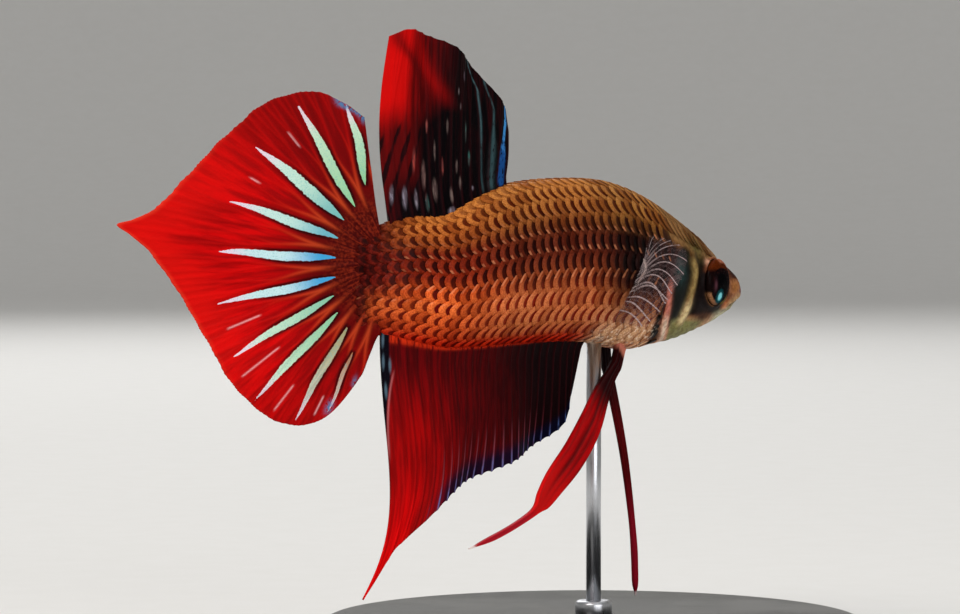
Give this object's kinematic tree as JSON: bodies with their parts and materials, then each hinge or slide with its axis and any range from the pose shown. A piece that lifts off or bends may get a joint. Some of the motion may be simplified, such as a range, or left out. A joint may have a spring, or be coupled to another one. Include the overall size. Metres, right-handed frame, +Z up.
{
  "type": "betta fish display model",
  "caption": "Life-size still model of a male short-finned betta with a spade tail, bent in a turn and held on a rod and round base.",
  "frame": {"origin": "middle of the stand base's underside, on the rod's axis", "axes": "+Z up; the tail fin points along -X and the body curves from it until the head points toward +X and +Y; the right flank faces -Y"},
  "size_m": [0.059, 0.044, 0.0504],
  "materials": {
    "skin": "moist scaled skin, copper orange with dark scale pockets",
    "eye": "clear cornea over a dark eye with a teal glint",
    "fin": "deep red ray-and-membrane fin with turquoise stripes",
    "clear_fin": "translucent whitish fin with paler rays",
    "base": "polished black acrylic",
    "rod": "brushed stainless steel"
  },
  "bodies": {
    "root": {"head": "skin", "lower_jaw": "skin", "gill_cover_left": "skin", "gill_cover_right": "skin", "trunk": "skin", "tail_body": "skin", "tail_stalk": "skin", "eye_left": "eye", "eye_right": "eye", "tail_fin": "fin", "dorsal_fin": "fin", "anal_fin": "fin", "pelvic_fin_left": "fin", "pelvic_fin_right": "fin", "pectoral_fin_left": "clear_fin", "pectoral_fin_right": "clear_fin", "stand_base": "base", "stand_rod": "rod"}
  },
  "joints": []
}
